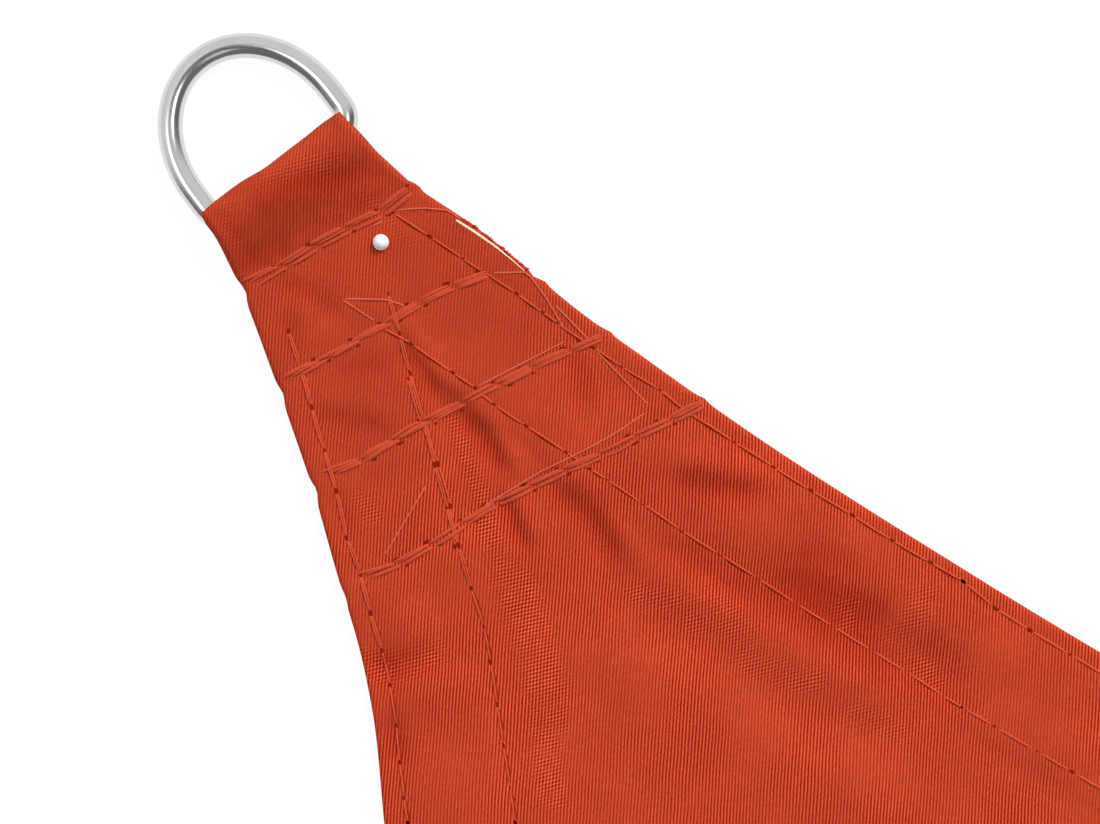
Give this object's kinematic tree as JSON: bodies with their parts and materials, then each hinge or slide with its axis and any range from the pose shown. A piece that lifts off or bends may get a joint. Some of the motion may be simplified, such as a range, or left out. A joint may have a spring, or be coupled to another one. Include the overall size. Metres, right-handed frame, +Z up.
{
  "type": "triangular shade sail with corner rings",
  "caption": "Triangular cloth shade sail with hemmed curved edges and a steel D-ring sewn into a folded loop at each corner.",
  "frame": {"origin": "on the surface the sail lies on, under the middle of its outline", "axes": "+Z up, +Y from the front corner towards the middle of the back edge, +X along the back edge"},
  "size_m": [2.0598, 1.7878, 0.008],
  "materials": {
    "cloth": "terracotta red ribbed woven cloth, matt with a slight sheen",
    "ring_steel": "polished round steel wire",
    "stud": "white, slightly glossy"
  },
  "bodies": {
    "root": {"sail_cloth": "cloth", "ring_front": "ring_steel", "ring_right": "ring_steel", "ring_left": "ring_steel", "corner_stud": "stud"}
  },
  "joints": []
}
